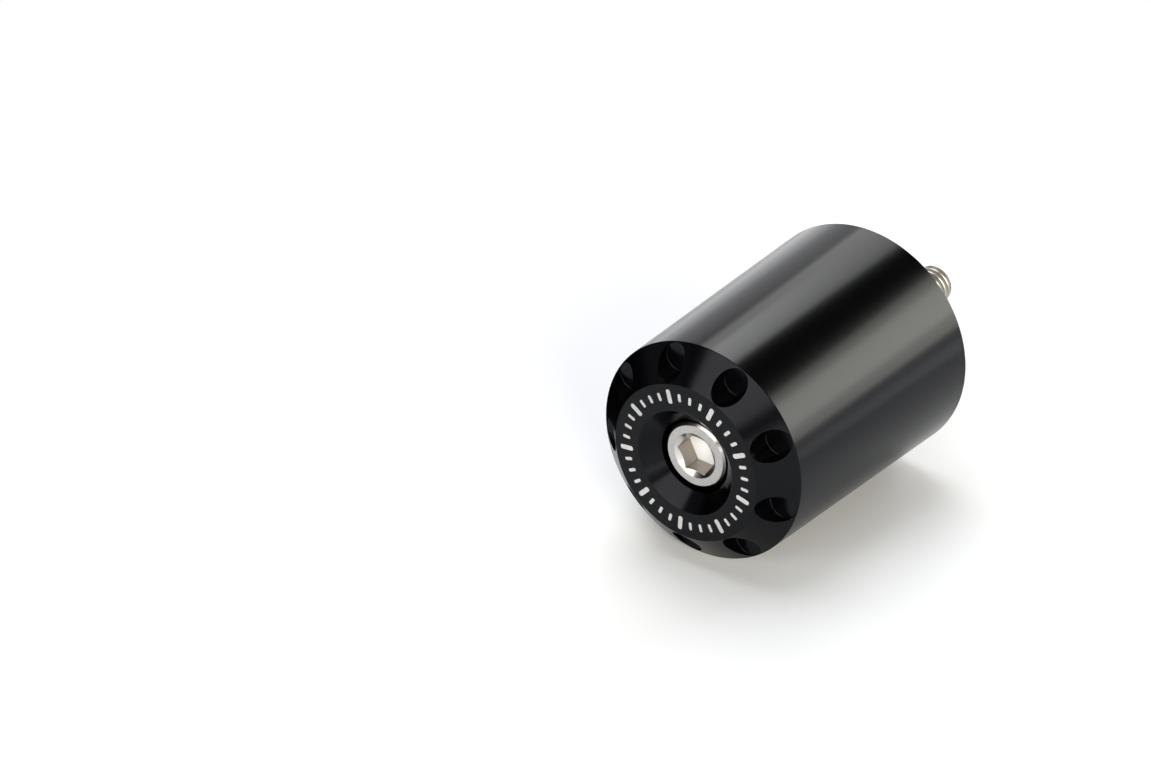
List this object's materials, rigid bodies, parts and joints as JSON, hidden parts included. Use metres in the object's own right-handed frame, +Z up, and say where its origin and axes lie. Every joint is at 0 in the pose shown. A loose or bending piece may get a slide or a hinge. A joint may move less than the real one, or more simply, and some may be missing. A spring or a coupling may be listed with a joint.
{
  "type": "bar end weight",
  "caption": "Tapered round handlebar end weight with a wide front bevel of milled pockets, clamped by a socket cap screw whose thread leaves the rear face.",
  "frame": {"origin": "centre of the rear face, on the axis, where the weight seats on the end of the handlebar", "axes": "+Y along the axis, the way the screw leaves the rear face; the front face looks towards -Y; +Z up"},
  "size_m": [0.035, 0.0642, 0.035],
  "materials": {
    "black_anodised": "satin black anodised, fine turned grain",
    "stainless": "bright stainless"
  },
  "bodies": {
    "root": {"weight_body": "black_anodised", "mounting_screw": "stainless"}
  },
  "joints": []
}
